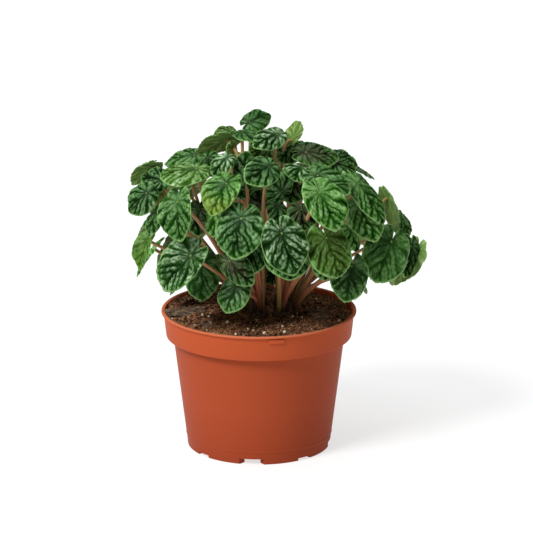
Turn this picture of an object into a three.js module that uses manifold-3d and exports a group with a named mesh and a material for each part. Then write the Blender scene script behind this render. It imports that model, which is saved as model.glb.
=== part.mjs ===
// A potted peperomia: a low house plant with rippled heart-shaped leaves on pink-brown leaf stalks,
// growing as eight short crowns in peat soil, in a moulded nursery pot.
// Units are millimetres and +Z is up. The origin is on the table, on the pot's axis.
// The viewer of the front view looks along +Y, so the pot's front is at -Y.
import * as THREE from "three";
import { mergeVertices } from "three/addons/utils/BufferGeometryUtils.js";
import Module from "manifold-3d";

const wasm = await Module();
wasm.setup();

const degree = Math.PI / 180;
const fullTurn = 2 * Math.PI;
const clearance = 0.3; // between pieces that touch
const shortestEdge = 0.05;

// Pot
const potHeight = 109;
const rimRadius = 76;
const bandTopRadius = 74.2;
const bandFootRadius = 72.2;
const bandFootHeight = 88.8; // the band stands out from the wall in a level step
const wallTopRadius = 66.8;
const wallFootRadius = 57.1;
const footRingRadius = 55.9;
const footRingInnerRadius = 50.6;
const seamHeight = 10; // the wall steps in here, above the feet
const floorUnderside = 4.6;
const floorTop = 6.4;
const wallThickness = 1.7;
const padRadius = 12; // the flat pad in the middle of the pot's underside
const potSides = 28; // of the soil too, so that it fits the pot's flats

// Notches between the feet, wide and narrow ones in turn, and the drain holes above them
const notchPairs = 4;
const notchTurn = -5.6 * degree; // the front notch is a little left of the middle
const wideNotch = { outer: 23.5, inner: 7, height: 4.6 };
const narrowNotch = { outer: 13, inner: 10, height: 2.2 };
const drainHoleRadius = 3.5;
const drainCircleRadius = 43;

// The small raised tab on the pot's band
const tab = { width: 12, height: 3.3, proud: 0.8, turn: 10.5 * degree, middle: 104.1 };

// Soil
const soilEdgeHeight = 105;
const soilMound = 3.2; // how much higher the soil is in the middle
const soilRings = 4;

// Crowns
const plantCentre = new THREE.Vector3(9, -2, 0);
const crownCount = 8;
const crownCircleRadius = 17;
const crownRadius = 5;
const crownSides = 6;
const crownDepth = 13; // below the soil's mean surface
const crownRise = 9; // above it

// Leaves
const bladeThickness = 1;
const bladeSpread = 1.39; // the full width of bladeReach's outline, whose tip is at 1
const ridgeLift = 1.3;
const veinSink = 0.9;
const softFold = 5; // how rounded a fold along the midrib is
const broadLeaf = 33; // a blade wider than this has the most ridges
const narrowLeaf = 23; // a blade narrower than this has the fewest
const stalkRadius = 2;
const stalkSides = 3;
const stalkSteps = 4;

// The front leaves are listed as they are seen in the front view, from a little above the level
const lookDown = 16 * degree;
const eyeDistance = 2500;
const sightCentre = { across: 5.9, up: 137.5 };
const sightScaleDepth = 30; // the depth at which a seen millimetre is a true one
const domeCentre = new THREE.Vector3(9, 0, 140);

const materials = {
  pot: new THREE.MeshStandardMaterial({ color: "#b4532f", roughness: 0.5, metalness: 0 }),
  soil: new THREE.MeshStandardMaterial({ color: "#33231a", roughness: 0.95, metalness: 0 }),
  bark: new THREE.MeshStandardMaterial({ color: "#5b5146", roughness: 0.9, metalness: 0 }),
  foliage: new THREE.MeshStandardMaterial({ color: "#3f7240", roughness: 0.45, metalness: 0 }),
};

// A closed geometry as a manifold solid that faces out
function solidOf(geometry) {
  const bare = geometry.clone();
  bare.deleteAttribute("normal");
  bare.deleteAttribute("uv");
  const merged = mergeVertices(bare, 1e-4);
  const triVerts = new Uint32Array(merged.index.array);
  const vertProperties = merged.attributes.position.array;
  const solid = new wasm.Manifold(new wasm.Mesh({ numProp: 3, vertProperties, triVerts }));
  if (solid.volume() > 0) return solid;
  for (let i = 0; i < triVerts.length; i += 3) {
    [triVerts[i + 1], triVerts[i + 2]] = [triVerts[i + 2], triVerts[i + 1]];
  }
  return new wasm.Manifold(new wasm.Mesh({ numProp: 3, vertProperties, triVerts }));
}

function meshOf(name, solid, material) {
  const { numProp, vertProperties, triVerts } = solid.getMesh();
  const position = new Float32Array((vertProperties.length / numProp) * 3);
  for (let i = 0; i < position.length / 3; i++) {
    position.set(vertProperties.subarray(i * numProp, i * numProp + 3), i * 3);
  }
  const geometry = new THREE.BufferGeometry()
    .setAttribute("position", new THREE.BufferAttribute(position, 3))
    .setIndex(new THREE.BufferAttribute(triVerts, 1));
  geometry.computeVertexNormals();
  const mesh = new THREE.Mesh(geometry, material);
  mesh.name = name;
  return mesh;
}

// A solid of revolution about Z from a profile of [radius, height] points
function turned(profile, sides) {
  const points = profile.map(([radius, height]) => new THREE.Vector2(radius, height));
  return new THREE.LatheGeometry(points, sides).rotateX(Math.PI / 2);
}

// An upright prism from an outline of [x, y] points
function prism(outline, foot, height) {
  const shape = new THREE.Shape(outline.map(([x, y]) => new THREE.Vector2(x, y)));
  return new THREE.ExtrudeGeometry(shape, { depth: height, bevelEnabled: false }).translate(0, 0, foot);
}

function upright(radius, foot, height, sides) {
  return new THREE.CylinderGeometry(radius, radius, height, sides)
    .rotateX(Math.PI / 2)
    .translate(0, 0, foot + height / 2);
}

// A turn of 0 faces the front, and a positive turn goes to the right
function placedRound(geometry, turn, radius) {
  return geometry.translate(0, -radius, 0).rotateZ(turn);
}

function notchCutter({ outer, inner, height }, turn) {
  const reachIn = footRingInnerRadius - 4;
  const reachOut = footRingRadius + 2;
  const outline = [
    [-outer / 2, -reachOut],
    [outer / 2, -reachOut],
    [inner / 2, -reachIn],
    [-inner / 2, -reachIn],
  ];
  return solidOf(prism(outline, -1, height + 1).rotateZ(turn));
}

function makePot() {
  const inner = wallThickness;
  const profile = [
    [0, 0],
    [padRadius, 0],
    [padRadius + 1.2, floorUnderside],
    [footRingInnerRadius, floorUnderside],
    [footRingInnerRadius, 0],
    [footRingRadius - 0.5, 0],
    [footRingRadius, 0.8],
    [wallFootRadius - 0.7, seamHeight - 0.3],
    [wallFootRadius, seamHeight],
    [wallTopRadius, bandFootHeight],
    [bandFootRadius - 0.8, bandFootHeight],
    [bandFootRadius, bandFootHeight + 0.8],
    [bandTopRadius, potHeight - 2.6],
    [rimRadius, potHeight - 1.8],
    [rimRadius - 0.3, potHeight - 0.4],
    [rimRadius - 1.4, potHeight],
    [bandTopRadius - inner, potHeight - 1],
    [bandFootRadius - inner, bandFootHeight + inner],
    [wallTopRadius - inner, bandFootHeight + inner],
    [wallFootRadius - inner, seamHeight],
    [wallFootRadius - inner - 2.5, floorTop],
    [0, floorTop],
  ];
  let pot = solidOf(turned(profile, potSides));
  const step = fullTurn / notchPairs;
  for (let i = 0; i < notchPairs; i++) {
    const turn = notchTurn + i * step;
    pot = pot.subtract(notchCutter(wideNotch, turn));
    pot = pot.subtract(notchCutter(narrowNotch, turn + step / 2));
    for (const holeTurn of [turn, turn + step / 2]) {
      const hole = upright(drainHoleRadius, floorUnderside - 2, 8, 10);
      pot = pot.subtract(solidOf(placedRound(hole, holeTurn, drainCircleRadius)));
    }
  }
  const block = new THREE.BoxGeometry(tab.width, 2, tab.height).translate(0, 0, tab.middle);
  const tabRadius = bandTopRadius + tab.proud - 1;
  return pot.add(solidOf(placedRound(block, tab.turn, tabRadius)));
}

// The lumps of the soil's surface, and its higher side at the back left
function soilRelief(x, y) {
  const lumps = 0.9 * Math.sin(x * 0.19 + 1.1) * Math.cos(y * 0.23) + 0.6 * Math.sin(x * 0.41 - y * 0.37);
  const backLeft = Math.max(0, (y - x) / 100 - 0.1);
  return lumps + 2.6 * backLeft;
}

function soilHeight(x, y) {
  const share = Math.hypot(x, y) / bandTopRadius;
  return soilEdgeHeight + soilMound * (1 - share * share) + soilRelief(x, y);
}

function crownPlace(index) {
  const turn = ((index + 0.5) * fullTurn) / crownCount;
  const x = plantCentre.x + crownCircleRadius * Math.sin(turn);
  const y = plantCentre.y - crownCircleRadius * Math.cos(turn);
  return new THREE.Vector3(x, y, soilHeight(x, y));
}

function makeSoil() {
  const gap = wallThickness + clearance;
  const edgeRadius = bandTopRadius - 0.6 - gap;
  const profile = [
    [0, floorTop + clearance],
    [wallFootRadius - gap - 2.5, floorTop + clearance],
    [wallFootRadius - gap, seamHeight + 0.3],
    [wallTopRadius - gap, bandFootHeight + gap],
    [bandFootRadius - gap, bandFootHeight + gap],
  ];
  for (let i = 0; i <= soilRings; i++) {
    profile.push([edgeRadius * (1 - i / soilRings), soilEdgeHeight]);
  }
  const geometry = turned(profile, potSides);
  const position = geometry.attributes.position;
  for (let i = 0; i < position.count; i++) {
    if (position.getZ(i) < soilEdgeHeight - 1) continue;
    position.setZ(i, soilHeight(position.getX(i), position.getY(i)));
  }
  let soil = solidOf(geometry);
  for (let i = 0; i < crownCount; i++) {
    const place = crownPlace(i);
    const hole = upright(crownRadius + clearance, place.z - crownDepth - clearance, 40, crownSides);
    soil = soil.subtract(solidOf(hole.translate(place.x, place.y, 0)));
  }
  return soil;
}

// Bark chips that lie half sunk in the soil, with their length, width and thickness
const barkChips = [
  { name: "bark_chip_left", x: -55, y: -8, size: [22, 14, 4], turn: 0.3, tilt: 0.25 },
  { name: "bark_chip_right", x: 47, y: -20, size: [11, 13, 3.6], turn: 0.2, tilt: 0.75 },
  { name: "bark_chip_front", x: -40, y: -40, size: [9, 6, 3], turn: -0.6, tilt: 0.3 },
];

function makeBarkChip({ x, y, size, turn, tilt }, soil) {
  const chip = new THREE.IcosahedronGeometry(0.5, 1);
  const position = chip.attributes.position;
  for (let i = 0; i < position.count; i++) {
    const [u, v, w] = [position.getX(i), position.getY(i), position.getZ(i)];
    const squared = 1.3 - 0.6 * Math.abs(u * v) - 0.25 * Math.sin(7 * u + 5 * v);
    position.setXYZ(i, u * squared * size[0], v * squared * size[1], w * size[2]);
  }
  const placed = chip.rotateX(tilt).rotateZ(turn).translate(x, y, soilHeight(x, y) + 0.6);
  return solidOf(placed).subtract(soil.translate([0, 0, clearance]));
}

// A point given as it is seen in the front view, with its distance in front of the pot's axis
function seen([across, up, front]) {
  const depth = up * Math.sin(lookDown) + front * Math.cos(lookDown);
  const shrink = 1 - (depth - sightScaleDepth) / eyeDistance;
  const x = sightCentre.across + (across - sightCentre.across) * shrink;
  const height = sightCentre.up + (up - sightCentre.up) * shrink;
  return new THREE.Vector3(x, -front, (height + front * Math.sin(lookDown)) / Math.cos(lookDown));
}

// Leaves seen from the front: where the stalk meets the blade, where the tip is, both as [across, up,
// front], the blade's width, and for a leaf that doesn't face outwards, the way that its top faces
const frontLeaves = [
  // the big ones in the middle
  { junction: [-13.5, 175, 80], tip: [-20.5, 144, 88], width: 38 },
  { junction: [17.5, 163.5, 91], tip: [27.5, 132, 97], width: 35 },
  { junction: [46.5, 195, 72], tip: [61, 166, 84], width: 35, fold: -12 },
  { junction: [52, 160, 76], tip: [62.5, 129.5, 82], width: 37 },
  { junction: [-25, 202, 62], tip: [-37.5, 178, 74], width: 31, fold: -16 },
  { junction: [8, 215, 60], tip: [-9.5, 203.5, 72], width: 25, facing: [-0.1, -0.85, 0.5] },
  { junction: [33, 182, 52], tip: [36, 166, 60], width: 24 },
  // low leaves behind them
  { junction: [-4, 154, 52], tip: [-8, 131.5, 64], width: 25 },
  { junction: [22, 152, 65], tip: [24, 128, 80], width: 36 },
  { junction: [-23, 142, 58], tip: [-5, 124, 68], width: 22 },
  { junction: [-17, 123, 54], tip: [-25.5, 102, 62], width: 25 },
  { junction: [72, 138, 60], tip: [67, 110.5, 68], width: 29, facing: [0.15, -0.9, 0.35] },
  { junction: [49, 146, 56], tip: [52, 127, 60], width: 20 },
  { junction: [-44.5, 141, 26], tip: [-44.5, 111, 35], width: 28, facing: [-0.15, -0.9, 0.35] },
  { junction: [-34, 181, 46], tip: [-36, 161, 58], width: 18 },
  { junction: [-46.5, 182, 19], tip: [-47.5, 162, 28], width: 24, facing: [-0.1, -0.9, 0.4] },
  // left
  { junction: [-63, 188, 52], tip: [-61, 158, 66], width: 34, fold: -20 },
  { junction: [-52.5, 146, 62], tip: [-75, 120, 60], width: 35, facing: [-0.45, -0.75, 0.45], fold: -26,
    crown: 7 },
  { junction: [-87, 194.5, 24], tip: [-102, 181.5, 22], width: 29, facing: [-0.6, -0.65, 0.5] },
  { junction: [-75.5, 204.5, 8], tip: [-90.5, 208, 2], width: 22, facing: [-0.5, -0.5, 0.7] },
  { junction: [-84, 216, -16], tip: [-98, 202, -20], width: 24, facing: [-0.6, 0.72, 0.3], crown: 7 },
  { junction: [-77, 194, -5], tip: [-85, 179, 0], width: 20, facing: [-0.8, 0.5, 0.2], crown: 7 },
  { junction: [-79, 180, 30], tip: [-86, 161, 36], width: 18, facing: [-0.75, -0.5, 0.4] },
  { junction: [-86.5, 158, 20], tip: [-93, 135, 25], width: 19, facing: [-0.7, -0.65, 0.2], fold: -38 },
  // upper left
  { junction: [-25.5, 221.5, 44], tip: [-35.5, 209, 54], width: 17, facing: [-0.3, -0.8, 0.5] },
  { junction: [-48.5, 213, 30], tip: [-77, 209, 26], width: 35, facing: [-0.22, -0.25, 0.94], fold: 14 },
  { junction: [-50, 224, -8], tip: [-73, 219, -14], width: 28, facing: [-0.3, -0.3, 0.9] },
  { junction: [-52, 205, 8], tip: [-72, 198, 4], width: 22, facing: [-0.3, 0.6, 0.7] },
  { junction: [-24, 238, 4], tip: [-48, 227, 2], width: 27, facing: [-0.3, 0.72, 0.62] },
  { junction: [-22, 242, -22], tip: [-35, 239, -20], width: 18, facing: [-0.3, -0.6, 0.75] },
  { junction: [-13, 241.5, 19], tip: [5, 237.5, 22], width: 24, facing: [0.1, -0.12, 1] },
  { junction: [-21, 231, 10], tip: [-26, 223, 16], width: 15, facing: [0, 0.75, 0.6] },
  // top
  { junction: [-7.5, 249.5, -4], tip: [8.5, 256, -10], width: 19, facing: [-0.25, -0.75, 0.6] },
  { junction: [14, 240, 29], tip: [-4, 231, 38], width: 21, facing: [-0.2, -0.7, 0.65] },
  { junction: [26.5, 235.5, 13], tip: [29, 249.5, 2], width: 23, facing: [0.3, 0.7, 0.5], crown: 1 },
  { junction: [25, 231, 14], tip: [17, 219, 22], width: 22, facing: [0.1, -0.7, 0.6], crown: 1 },
  { junction: [8, 231, 4], tip: [-7, 225.5, 10], width: 23, facing: [-0.2, -0.75, 0.6] },
  { junction: [-10, 206, 46], tip: [-10, 227, 34], width: 20, facing: [0, -0.9, 0.45] },
  // upper right
  { junction: [36, 226, 24], tip: [62, 223, 16], width: 26, facing: [0.3, -0.45, 0.85] },
  { junction: [59, 223, 2], tip: [77, 217.5, -4], width: 22, facing: [0.5, -0.4, 0.8] },
  { junction: [60, 217, 18], tip: [76, 212, 14], width: 18, facing: [0.5, -0.5, 0.7] },
  { junction: [45, 208, 50], tip: [70, 195, 56], width: 30, facing: [0.3, -0.6, 0.75] },
  { junction: [33, 214, 32], tip: [27, 205, 42], width: 26, facing: [0, -0.6, 0.8] },
  // right
  { junction: [77, 187, 30], tip: [91, 158, 47], width: 30, facing: [0.3, -0.85, 0.4] },
  { junction: [77, 202, 34], tip: [97, 171, 46], width: 26, facing: [0.65, -0.6, 0.5] },
  { junction: [70, 166, 34], tip: [76, 150, 44], width: 20 },
  { junction: [100.5, 191, -6], tip: [107.5, 165, 0], width: 26, facing: [0.88, 0.45, 0.2] },
  { junction: [109.5, 176.5, -18], tip: [117, 160.5, -12], width: 20, facing: [0.7, -0.5, 0.5] },
  { junction: [103, 157, 34], tip: [90, 126, 48], width: 37, facing: [0.3, -0.85, 0.4] },
  { junction: [118, 153.5, 10], tip: [114, 129.5, 19], width: 24, facing: [0.6, -0.75, 0.3] },
  { junction: [121, 148.5, 2], tip: [104, 124, 14], width: 30, facing: [0.7, 0.65, 0.1], crown: 2 },
  // deep in the shade between the stalks
  { junction: [18, 196, 38], tip: [7, 206, 34], width: 26, facing: [0, -0.95, 0.2] },
  { junction: [2, 186, 36], tip: [-2, 197, 31], width: 22, facing: [0, -1, 0.1] },
  { junction: [-12, 203, 26], tip: [-14, 190, 32], width: 18, crown: 7 },
  { junction: [14, 184, 50], tip: [16, 170, 58], width: 16 },
  { junction: [-39.5, 222, 14], tip: [-37, 208, 20], width: 20 },
  { junction: [27, 204, 28], tip: [24, 187, 36], width: 24, facing: [0, -0.95, 0.3] },
  { junction: [9, 140, 2], tip: [10, 124, 10], width: 24, facing: [0, -0.95, 0.3] },
];

// Rows of leaves round the back, from the lowest row to the top one
const backRows = [
  { height: 140, radius: 62, leaves: 5, from: 104, to: 262, pitch: 56, length: 26 },
  { height: 158, radius: 92, leaves: 7, from: 114, to: 262, pitch: 60, length: 30 },
  { height: 188, radius: 84, leaves: 7, from: 110, to: 252, pitch: 50, length: 30 },
  { height: 216, radius: 62, leaves: 5, from: 112, to: 250, pitch: 34, length: 27 },
  { height: 240, radius: 34, leaves: 2, from: 135, to: 185, pitch: 20, length: 26 },
];

// An even scatter from -1 to 1 that differs from leaf to leaf and from use to use
function scatter(index, use) {
  const share = (index * 0.6180339887 + use * 0.4142135624) % 1;
  return 2 * share - 1;
}

function framedLeaf(junction, tip, width, facing, options = {}) {
  const { fold = 8, arch = 0.16, crown = 0, plain = false } = options;
  const chord = tip.clone().sub(junction);
  const length = chord.length();
  const straight = chord.normalize();
  const face = facing.clone().addScaledVector(straight, -facing.dot(straight)).normalize();
  const along = straight.clone().addScaledVector(face, arch).normalize();
  const normal = face.clone().addScaledVector(along, -face.dot(along)).normalize();
  const aside = new THREE.Vector3().crossVectors(normal, along);
  return { junction, length, width, along, aside, normal, fold: fold * degree, arch, crown, plain };
}

function leavesOfFront() {
  return frontLeaves.map((row) => {
    const junction = seen(row.junction);
    const tip = seen(row.tip);
    const outward = junction.clone().add(tip).multiplyScalar(0.5).sub(domeCentre);
    const facing = row.facing ? new THREE.Vector3(...row.facing) : outward;
    return framedLeaf(junction, tip, row.width, facing.normalize(), row);
  });
}

function leavesOfBack() {
  const leaves = [];
  for (const row of backRows) {
    for (let i = 0; i < row.leaves; i++) {
      const index = leaves.length;
      const step = (row.to - row.from) / (row.leaves - 1);
      const turn = (row.from + i * step + 4 * scatter(index, 1)) * degree;
      const outward = new THREE.Vector3(Math.sin(turn), -Math.cos(turn), 0);
      const radius = row.radius + 5 * scatter(index, 2);
      const junction = outward.clone().multiplyScalar(radius);
      junction.x += domeCentre.x;
      junction.z = row.height + 5 * scatter(index, 3);
      const pitch = (row.pitch + 8 * scatter(index, 4)) * degree;
      const sway = 0.25 * scatter(index, 5);
      const sideways = new THREE.Vector3(outward.y, -outward.x, 0);
      const down = outward.clone().multiplyScalar(Math.cos(pitch)).addScaledVector(sideways, sway);
      down.z = -Math.sin(pitch);
      const length = row.length + 4 * scatter(index, 6);
      const tip = junction.clone().addScaledVector(down.normalize(), length);
      const facing = outward.clone().multiplyScalar(Math.sin(pitch));
      facing.z = Math.cos(pitch);
      leaves.push(framedLeaf(junction, tip, length * 1.08, facing, { plain: true }));
    }
  }
  return leaves;
}

// How far the blade's edge is from the stalk's end, over the length: 1 at the tip, with a notch behind
function bladeReach(angle) {
  const fromTip = Math.abs(angle) / degree;
  const point = 0.09 * Math.exp(-((fromTip / 20) ** 2));
  const cheek = 0.05 * Math.exp(-(((fromTip - 42) / 26) ** 2));
  const notch = 0.26 * Math.exp(-(((180 - fromTip) / 10) ** 2));
  return 0.635 + 0.27 * Math.cos(angle) + point + cheek - notch;
}

function bladePoint(leaf, share, angle, ripple) {
  const reach = share * bladeReach(angle);
  const along = reach * Math.cos(angle) * leaf.length;
  const aside = (reach * Math.sin(angle) * leaf.width) / bladeSpread;
  const bend = (leaf.arch * along * along) / leaf.length;
  const fold = Math.tan(leaf.fold) * (Math.hypot(aside, softFold) - softFold);
  return leaf.junction
    .clone()
    .addScaledVector(leaf.along, along)
    .addScaledVector(leaf.aside, aside)
    .addScaledVector(leaf.normal, ripple - bend - fold);
}

function ridgesOf(leaf) {
  if (leaf.plain || leaf.width < narrowLeaf) return 4;
  return leaf.width > broadLeaf ? 6 : 5;
}

// A thin closed blade, pleated into ridges between the veins that fan out from the stalk's end. Its
// spokes stand closer at the tip and the notch. Both faces are split into the same triangles.
function bladeSolid(leaf) {
  const spokes = 2 * ridgesOf(leaf);
  const step = fullTurn / spokes;
  const points = [leaf.junction.clone()];
  for (const share of [0.55, 1]) {
    for (let i = 0; i < spokes; i++) {
      const angle = i * step - 0.11 * Math.sin(2 * i * step);
      const pleat = i % 2 ? ridgeLift : -veinSink;
      points.push(bladePoint(leaf, share, angle, share < 1 ? pleat : pleat * 0.5));
    }
  }
  const ring = (i) => 1 + (i % spokes);
  const edge = (i) => 1 + spokes + (i % spokes);
  const top = [];
  for (let i = 0; i < spokes; i++) {
    top.push([0, ring(i), ring(i + 1)]);
    top.push([ring(i), edge(i), edge(i + 1)], [ring(i), edge(i + 1), ring(i + 1)]);
  }
  const count = points.length;
  const faces = [];
  for (const [a, b, c] of top) {
    faces.push([a, b, c], [a + count, c + count, b + count]);
  }
  for (let i = 0; i < spokes; i++) {
    const [a, b] = [edge(i), edge(i + 1)];
    faces.push([b, a, a + count], [b, a + count, b + count]);
  }
  const half = bladeThickness / 2;
  const shell = [half, -half].flatMap((lift) =>
    points.map((point) => point.clone().addScaledVector(leaf.normal, lift)),
  );
  const geometry = new THREE.BufferGeometry().setFromPoints(shell);
  geometry.setIndex(faces.flat());
  return solidOf(geometry);
}

// The stalk's line, from inside the crown's top up and out to the back of the blade
function stalkCurve(leaf, crown) {
  const start = crown.clone();
  const end = leaf.junction.clone().addScaledVector(leaf.normal, -0.35);
  const span = end.distanceTo(start);
  const outward = new THREE.Vector3(end.x - start.x, end.y - start.y, 0);
  const spread = Math.min(outward.length() / 45 - 0.7, 0.75); // the outer leaves' stalks stand outside
  outward.normalize();
  start.addScaledVector(outward, crownRadius * spread);
  start.z += crownRise - 3 - 2 * spread;
  const rise = new THREE.Vector3(0, 0, 0.8).addScaledVector(outward, 0.35);
  const inbound = end.clone().sub(start).normalize().multiplyScalar(0.4).addScaledVector(leaf.normal, 0.8);
  const leave = start.clone().addScaledVector(rise, span * 0.32);
  const arrive = end.clone().addScaledVector(inbound, -span * 0.24);
  return new THREE.CubicBezierCurve3(start, leave, arrive, end);
}

function stalkSolid(leaf, crown) {
  const section = new THREE.Shape();
  for (let k = 0; k < stalkSides; k++) {
    const turn = (k * fullTurn) / stalkSides;
    const corner = [stalkRadius * Math.cos(turn), stalkRadius * Math.sin(turn)];
    if (k === 0) section.moveTo(...corner);
    else section.lineTo(...corner);
  }
  const extrudePath = stalkCurve(leaf, crown);
  return solidOf(new THREE.ExtrudeGeometry(section, { steps: stalkSteps, extrudePath }));
}

// The crown that a leaf grows from is the one on its side of the plant, if the leaf names no other
function crownIndexOf(leaf) {
  if (leaf.crown > 0) return leaf.crown - 1;
  const turn = Math.atan2(leaf.junction.x - plantCentre.x, plantCentre.y - leaf.junction.y);
  return Math.floor((((turn / fullTurn) % 1) + 1) * crownCount) % crownCount;
}

function makeLeafyCrown(index, leaves) {
  const place = crownPlace(index);
  const stub = upright(crownRadius, place.z - crownDepth, crownDepth + crownRise, crownSides);
  const pieces = [solidOf(stub.translate(place.x, place.y, 0))];
  for (const leaf of leaves) {
    pieces.push(bladeSolid(leaf), stalkSolid(leaf, place));
  }
  // The shortest edges are closed up, and the tiny pockets shut in between stalks are filled
  const joined = wasm.Manifold.union(pieces).simplify(shortestEdge);
  return wasm.Manifold.compose(joined.decompose().filter((body) => body.volume() > 0));
}

const plant = new THREE.Group();
plant.add(meshOf("pot", makePot(), materials.pot));
const soil = makeSoil();
plant.add(meshOf("soil", soil, materials.soil));
for (const chip of barkChips) {
  plant.add(meshOf(chip.name, makeBarkChip(chip, soil), materials.bark));
}
const leaves = [...leavesOfFront(), ...leavesOfBack()];
for (let i = 0; i < crownCount; i++) {
  const own = leaves.filter((leaf) => crownIndexOf(leaf) === i);
  plant.add(meshOf(`leafy_crown_${i + 1}`, makeLeafyCrown(i, own), materials.foliage));
}

export default plant;
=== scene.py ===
import math
import random

import bmesh
import bpy
from mathutils import Matrix, Vector, noise


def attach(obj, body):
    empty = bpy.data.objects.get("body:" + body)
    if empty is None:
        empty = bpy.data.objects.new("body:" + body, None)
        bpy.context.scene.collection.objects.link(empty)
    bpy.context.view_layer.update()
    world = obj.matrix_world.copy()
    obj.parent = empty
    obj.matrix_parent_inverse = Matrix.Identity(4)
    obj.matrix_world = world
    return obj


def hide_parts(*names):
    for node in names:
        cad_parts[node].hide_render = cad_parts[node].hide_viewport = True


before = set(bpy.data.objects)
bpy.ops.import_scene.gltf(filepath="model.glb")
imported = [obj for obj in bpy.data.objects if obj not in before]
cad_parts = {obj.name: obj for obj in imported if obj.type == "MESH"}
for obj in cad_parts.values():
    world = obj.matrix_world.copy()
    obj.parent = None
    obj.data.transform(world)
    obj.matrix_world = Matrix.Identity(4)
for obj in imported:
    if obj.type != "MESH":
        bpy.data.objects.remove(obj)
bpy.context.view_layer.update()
print("frame loaded")

mm = 0.001  # sizes are given in mm
degree = math.pi / 180
fullTurn = 2 * math.pi


# Small tools

def linearColour(code):  # sRGB hex, turned linear
    shares = [int(code[i:i + 2], 16) / 255 for i in (1, 3, 5)]
    linear = [s / 12.92 if s <= 0.04045 else ((s + 0.055) / 1.055) ** 2.4 for s in shares]
    return (*linear, 1)


def newMaterial(name):
    material = bpy.data.materials.new(name)
    material.use_nodes = True
    return material, material.node_tree.nodes["Principled BSDF"]


# Sets a node's inputs to values, or links them from other nodes' sockets
def setInputs(node, inputs):
    for name, value in inputs.items():
        if isinstance(value, bpy.types.NodeSocket):
            node.id_data.links.new(value, node.inputs[name])
        else:
            node.inputs[name].default_value = value


# Adds a node with its settings and inputs
def addNode(tree, kind, inputs=None, **settings):
    node = tree.nodes.new(kind)
    for name, value in settings.items():
        setattr(node, name, value)
    setInputs(node, inputs or {})
    return node


# The next ones add a node beside the socket that they read, and give back their own socket
def objectPlace(shader):
    return addNode(shader.id_data, "ShaderNodeTexCoord").outputs["Object"]


def addNoise(place, scale, detail, roughness=0.5):
    return addNode(place.id_data, "ShaderNodeTexNoise", {
        "Vector": place, "Scale": scale, "Detail": detail, "Roughness": roughness}).outputs["Fac"]


def addRange(value, low, high, lowest, highest, **settings):
    return addNode(value.id_data, "ShaderNodeMapRange", {
        "Value": value, "From Min": low, "From Max": high, "To Min": lowest, "To Max": highest},
        **settings).outputs["Result"]


def addMath(operation, *values):
    return addNode(values[0].id_data, "ShaderNodeMath", dict(enumerate(values)),
                   operation=operation).outputs[0]


def addMix(share, colour, other):
    return addNode(share.id_data, "ShaderNodeMix", {0: share, 6: colour, 7: other},
                   data_type="RGBA").outputs[2]


def addBump(height, strength, deep):  # deep in mm
    return addNode(height.id_data, "ShaderNodeBump", {
        "Height": height, "Strength": strength, "Distance": deep * mm}).outputs["Normal"]


# A colour ramp from stops of (place, hex colour) in rising order
def addRamp(value, *stops):
    ramp = addNode(value.id_data, "ShaderNodeValToRGB", {"Fac": value})
    line = ramp.color_ramp.elements
    for place, code in stops[1:-1]:
        line.new(place).color = linearColour(code)
    for stop, (place, code) in [(line[0], stops[0]), (line[-1], stops[-1])]:
        stop.position = place
        stop.color = linearColour(code)
    return ramp.outputs["Color"]


def smoothStep(low, high, value):
    share = min(max((value - low) / (high - low), 0), 1)
    return share * share * (3 - 2 * share)


def addItem(name, data):
    item = bpy.data.objects.new(name, data)
    bpy.context.scene.collection.objects.link(item)
    return item


def meshOf(name, bm):
    mesh = bpy.data.meshes.new(name)
    bm.to_mesh(mesh)
    bm.free()
    return mesh


# Turns a bmesh into a piece that rides on the part and stands for its node
def finishPiece(name, bm, materials, nodes=()):
    bmesh.ops.recalc_face_normals(bm, faces=bm.faces)
    mesh = meshOf(name, bm)
    for material in materials:
        mesh.materials.append(material)
    mesh.shade_smooth()
    piece = addItem(name, mesh)
    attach(piece, "root")
    if nodes:
        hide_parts(*nodes)
    print(name, len(mesh.polygons), "faces")
    return piece


# Lays a grid round a form. place(turn, row) gives the point in mm and what the point carries, and
# slotOf(row) the material of a row of faces. The end rows close to a point.
def wrapGrid(bm, around, rows, place, layers=(), slotOf=None):
    made = bmesh.ops.create_grid(bm, x_segments=around, y_segments=rows, size=0.5)["verts"]
    if slotOf:
        for face in {face for vert in made for face in vert.link_faces}:
            face.material_index = slotOf(int((face.calc_center_median().y + 0.5) * rows))
    for vert in made:
        turn = round((vert.co.x + 0.5) * around) % around
        point, carried = place(turn, round((vert.co.y + 0.5) * rows))
        vert.co = point * mm
        for layer, value in zip(layers, carried):
            vert[layer] = value
    bmesh.ops.remove_doubles(bm, verts=made, dist=0.005 * mm)


# A tube along a line of points, closed to a point at each end
def addTube(bm, line, radii, around, layers=(), carried=None, slotOf=None):
    last = len(line) - 1
    sides = []
    side = Vector((0.31, 0.17, 1)).cross(line[1] - line[0]).normalized()
    for i, point in enumerate(line):
        heading = (line[min(i + 1, last)] - line[max(i - 1, 0)]).normalized()
        side = (side - heading * side.dot(heading)).normalized()
        sides.append((side, heading.cross(side)))

    def place(turn, row):
        i = min(max(row - 1, 0), last)
        if row == 0 or row == last + 2:
            return line[i], carried(i) if carried else ()
        angle = turn * fullTurn / around
        side, over = sides[i]
        point = line[i] + (side * math.cos(angle) + over * math.sin(angle)) * radii[i]
        return point, carried(i) if carried else ()

    wrapGrid(bm, around, last + 2, place, layers, slotOf)


# The view that the leaves are placed from and the camera takes: a long lens a little above the pot
photoView = {
    "lookDown": 16,  # degrees
    "distance": 2500,  # from the pot's axis
    "middle": (5.9, 137.5),  # what the picture's middle looks at, across and up
    "depth": 30,  # in front of the middle, where a seen millimetre is a true one
}

cameraSettings = {
    "picture": 414.7,  # mm that the frame covers at that depth
    "sensor": 36,  # mm
}


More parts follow.
